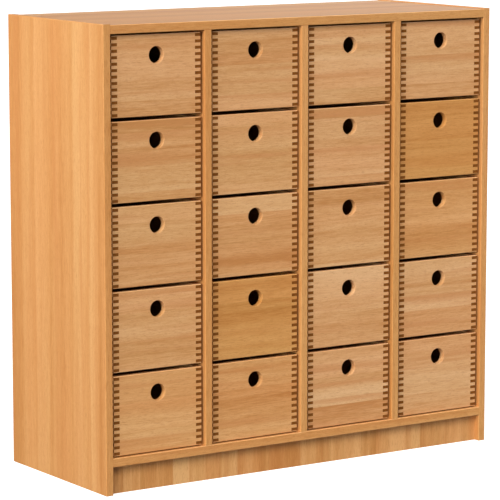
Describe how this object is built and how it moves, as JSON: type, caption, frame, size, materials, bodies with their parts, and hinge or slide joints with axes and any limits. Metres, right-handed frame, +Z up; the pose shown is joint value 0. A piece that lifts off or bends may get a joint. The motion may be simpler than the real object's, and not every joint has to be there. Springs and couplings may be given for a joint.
{
  "type": "drawer cabinet",
  "caption": "Free-standing beech cabinet on a recessed plinth, with a grid of open-hole finger-jointed drawers that slide out between upright dividers.",
  "frame": {"origin": "middle of the footprint, on the floor", "axes": "+X to the right as one faces the drawers, +Y from the drawer fronts to the back, +Z up"},
  "size_m": [1.123, 0.45, 1.104],
  "materials": {
    "beech_decor_board": "satin melamine, beech decor",
    "back_board": "satin melamine, beech decor",
    "edge_band": "satin, beech decor",
    "solid_beech": "clear satin lacquer",
    "runner_beech": "waxed",
    "dowel_beech": "raw",
    "zinc_steel": "zinc plated"
  },
  "bodies": {
    "cabinet": {"side_panel_left": "beech_decor_board", "side_panel_right": "beech_decor_board", "top_panel": "beech_decor_board", "bottom_panel": "beech_decor_board", "divider_1": "beech_decor_board", "divider_2": "beech_decor_board", "divider_3": "beech_decor_board", "plinth_front": "beech_decor_board", "plinth_rear": "beech_decor_board", "back_panel": "back_board", "edge_bands": "edge_band", "drawer_runners": "runner_beech", "runner_screws": "zinc_steel", "back_screws": "zinc_steel", "wood_dowels": "dowel_beech", "cam_bolts": "zinc_steel", "cam_housings": "zinc_steel"},
    "drawer_r1c1": {"drawer_front_r1c1": "solid_beech", "drawer_box_r1c1": "solid_beech"},
    "drawer_r1c2": {"drawer_front_r1c2": "solid_beech", "drawer_box_r1c2": "solid_beech"},
    "drawer_r1c3": {"drawer_front_r1c3": "solid_beech", "drawer_box_r1c3": "solid_beech"},
    "drawer_r1c4": {"drawer_front_r1c4": "solid_beech", "drawer_box_r1c4": "solid_beech"},
    "drawer_r2c1": {"drawer_front_r2c1": "solid_beech", "drawer_box_r2c1": "solid_beech"},
    "drawer_r2c2": {"drawer_front_r2c2": "solid_beech", "drawer_box_r2c2": "solid_beech"},
    "drawer_r2c3": {"drawer_front_r2c3": "solid_beech", "drawer_box_r2c3": "solid_beech"},
    "drawer_r2c4": {"drawer_front_r2c4": "solid_beech", "drawer_box_r2c4": "solid_beech"},
    "drawer_r3c1": {"drawer_front_r3c1": "solid_beech", "drawer_box_r3c1": "solid_beech"},
    "drawer_r3c2": {"drawer_front_r3c2": "solid_beech", "drawer_box_r3c2": "solid_beech"},
    "drawer_r3c3": {"drawer_front_r3c3": "solid_beech", "drawer_box_r3c3": "solid_beech"},
    "drawer_r3c4": {"drawer_front_r3c4": "solid_beech", "drawer_box_r3c4": "solid_beech"},
    "drawer_r4c1": {"drawer_front_r4c1": "solid_beech", "drawer_box_r4c1": "solid_beech"},
    "drawer_r4c2": {"drawer_front_r4c2": "solid_beech", "drawer_box_r4c2": "solid_beech"},
    "drawer_r4c3": {"drawer_front_r4c3": "solid_beech", "drawer_box_r4c3": "solid_beech"},
    "drawer_r4c4": {"drawer_front_r4c4": "solid_beech", "drawer_box_r4c4": "solid_beech"},
    "drawer_r5c1": {"drawer_front_r5c1": "solid_beech", "drawer_box_r5c1": "solid_beech"},
    "drawer_r5c2": {"drawer_front_r5c2": "solid_beech", "drawer_box_r5c2": "solid_beech"},
    "drawer_r5c3": {"drawer_front_r5c3": "solid_beech", "drawer_box_r5c3": "solid_beech"},
    "drawer_r5c4": {"drawer_front_r5c4": "solid_beech", "drawer_box_r5c4": "solid_beech"}
  },
  "joints": [
    {"name": "slide_r1c1", "type": "slide", "parent": "cabinet", "child": "drawer_r1c1", "axis": [0, -1, 0], "range_m": [0, 0.3]},
    {"name": "slide_r1c2", "type": "slide", "parent": "cabinet", "child": "drawer_r1c2", "axis": [0, -1, 0], "range_m": [0, 0.3]},
    {"name": "slide_r1c3", "type": "slide", "parent": "cabinet", "child": "drawer_r1c3", "axis": [0, -1, 0], "range_m": [0, 0.3]},
    {"name": "slide_r1c4", "type": "slide", "parent": "cabinet", "child": "drawer_r1c4", "axis": [0, -1, 0], "range_m": [0, 0.3]},
    {"name": "slide_r2c1", "type": "slide", "parent": "cabinet", "child": "drawer_r2c1", "axis": [0, -1, 0], "range_m": [0, 0.3]},
    {"name": "slide_r2c2", "type": "slide", "parent": "cabinet", "child": "drawer_r2c2", "axis": [0, -1, 0], "range_m": [0, 0.3]},
    {"name": "slide_r2c3", "type": "slide", "parent": "cabinet", "child": "drawer_r2c3", "axis": [0, -1, 0], "range_m": [0, 0.3]},
    {"name": "slide_r2c4", "type": "slide", "parent": "cabinet", "child": "drawer_r2c4", "axis": [0, -1, 0], "range_m": [0, 0.3]},
    {"name": "slide_r3c1", "type": "slide", "parent": "cabinet", "child": "drawer_r3c1", "axis": [0, -1, 0], "range_m": [0, 0.3]},
    {"name": "slide_r3c2", "type": "slide", "parent": "cabinet", "child": "drawer_r3c2", "axis": [0, -1, 0], "range_m": [0, 0.3]},
    {"name": "slide_r3c3", "type": "slide", "parent": "cabinet", "child": "drawer_r3c3", "axis": [0, -1, 0], "range_m": [0, 0.3]},
    {"name": "slide_r3c4", "type": "slide", "parent": "cabinet", "child": "drawer_r3c4", "axis": [0, -1, 0], "range_m": [0, 0.3]},
    {"name": "slide_r4c1", "type": "slide", "parent": "cabinet", "child": "drawer_r4c1", "axis": [0, -1, 0], "range_m": [0, 0.3]},
    {"name": "slide_r4c2", "type": "slide", "parent": "cabinet", "child": "drawer_r4c2", "axis": [0, -1, 0], "range_m": [0, 0.3]},
    {"name": "slide_r4c3", "type": "slide", "parent": "cabinet", "child": "drawer_r4c3", "axis": [0, -1, 0], "range_m": [0, 0.3]},
    {"name": "slide_r4c4", "type": "slide", "parent": "cabinet", "child": "drawer_r4c4", "axis": [0, -1, 0], "range_m": [0, 0.3]},
    {"name": "slide_r5c1", "type": "slide", "parent": "cabinet", "child": "drawer_r5c1", "axis": [0, -1, 0], "range_m": [0, 0.3]},
    {"name": "slide_r5c2", "type": "slide", "parent": "cabinet", "child": "drawer_r5c2", "axis": [0, -1, 0], "range_m": [0, 0.3]},
    {"name": "slide_r5c3", "type": "slide", "parent": "cabinet", "child": "drawer_r5c3", "axis": [0, -1, 0], "range_m": [0, 0.3]},
    {"name": "slide_r5c4", "type": "slide", "parent": "cabinet", "child": "drawer_r5c4", "axis": [0, -1, 0], "range_m": [0, 0.3]}
  ]
}
